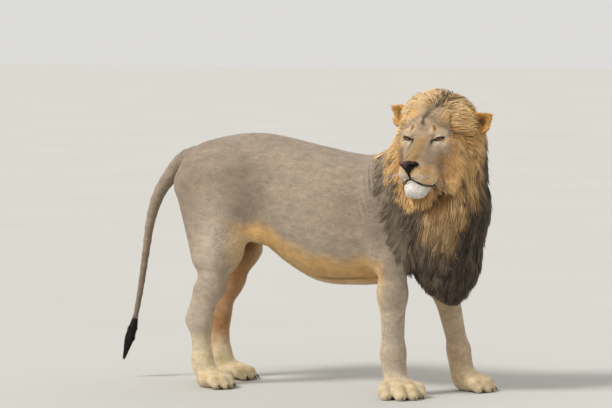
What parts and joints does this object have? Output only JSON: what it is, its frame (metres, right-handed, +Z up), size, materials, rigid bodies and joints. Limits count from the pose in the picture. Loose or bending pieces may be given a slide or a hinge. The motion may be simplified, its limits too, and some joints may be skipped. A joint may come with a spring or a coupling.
{
  "type": "lion",
  "caption": "Adult male lion standing on four paws with its head turned over its right shoulder, a still life-size display model.",
  "frame": {"origin": "middle of the foot of the box round the whole lion, on the floor it stands on", "axes": "+X along the body towards the chest, +Y towards the lion's own left side, +Z up"},
  "size_m": [1.7316, 0.5392, 1.3073],
  "materials": {
    "coat": "short fur",
    "face": "short fur",
    "mane_gold": "long hair",
    "mane_dark": "long hair",
    "tail_tuft": "long hair",
    "nose_skin": "moist",
    "eye": "wet",
    "claw": "horn"
  },
  "bodies": {
    "root": {"trunk": "coat", "neck": "coat", "head": "face", "lower_jaw": "face", "nose": "nose_skin", "eye_right": "eye", "eye_left": "eye", "ear_right": "face", "ear_left": "face", "mane_crown": "mane_gold", "mane_right": "mane_dark", "mane_left": "mane_dark", "mane_chest": "mane_dark", "foreleg_right": "coat", "foreleg_left": "coat", "hindleg_right": "coat", "hindleg_left": "coat", "forepaw_right": "coat", "forepaw_left": "coat", "hindpaw_right": "coat", "hindpaw_left": "coat", "claw_forepaw_right_1": "claw", "claw_forepaw_right_2": "claw", "claw_forepaw_right_3": "claw", "claw_forepaw_right_4": "claw", "claw_forepaw_left_1": "claw", "claw_forepaw_left_2": "claw", "claw_forepaw_left_3": "claw", "claw_forepaw_left_4": "claw", "claw_hindpaw_right_1": "claw", "claw_hindpaw_right_2": "claw", "claw_hindpaw_right_3": "claw", "claw_hindpaw_right_4": "claw", "claw_hindpaw_left_1": "claw", "claw_hindpaw_left_2": "claw", "claw_hindpaw_left_3": "claw", "claw_hindpaw_left_4": "claw", "tail_upper": "coat", "tail_lower": "coat", "tail_tuft": "tail_tuft"}
  },
  "joints": []
}
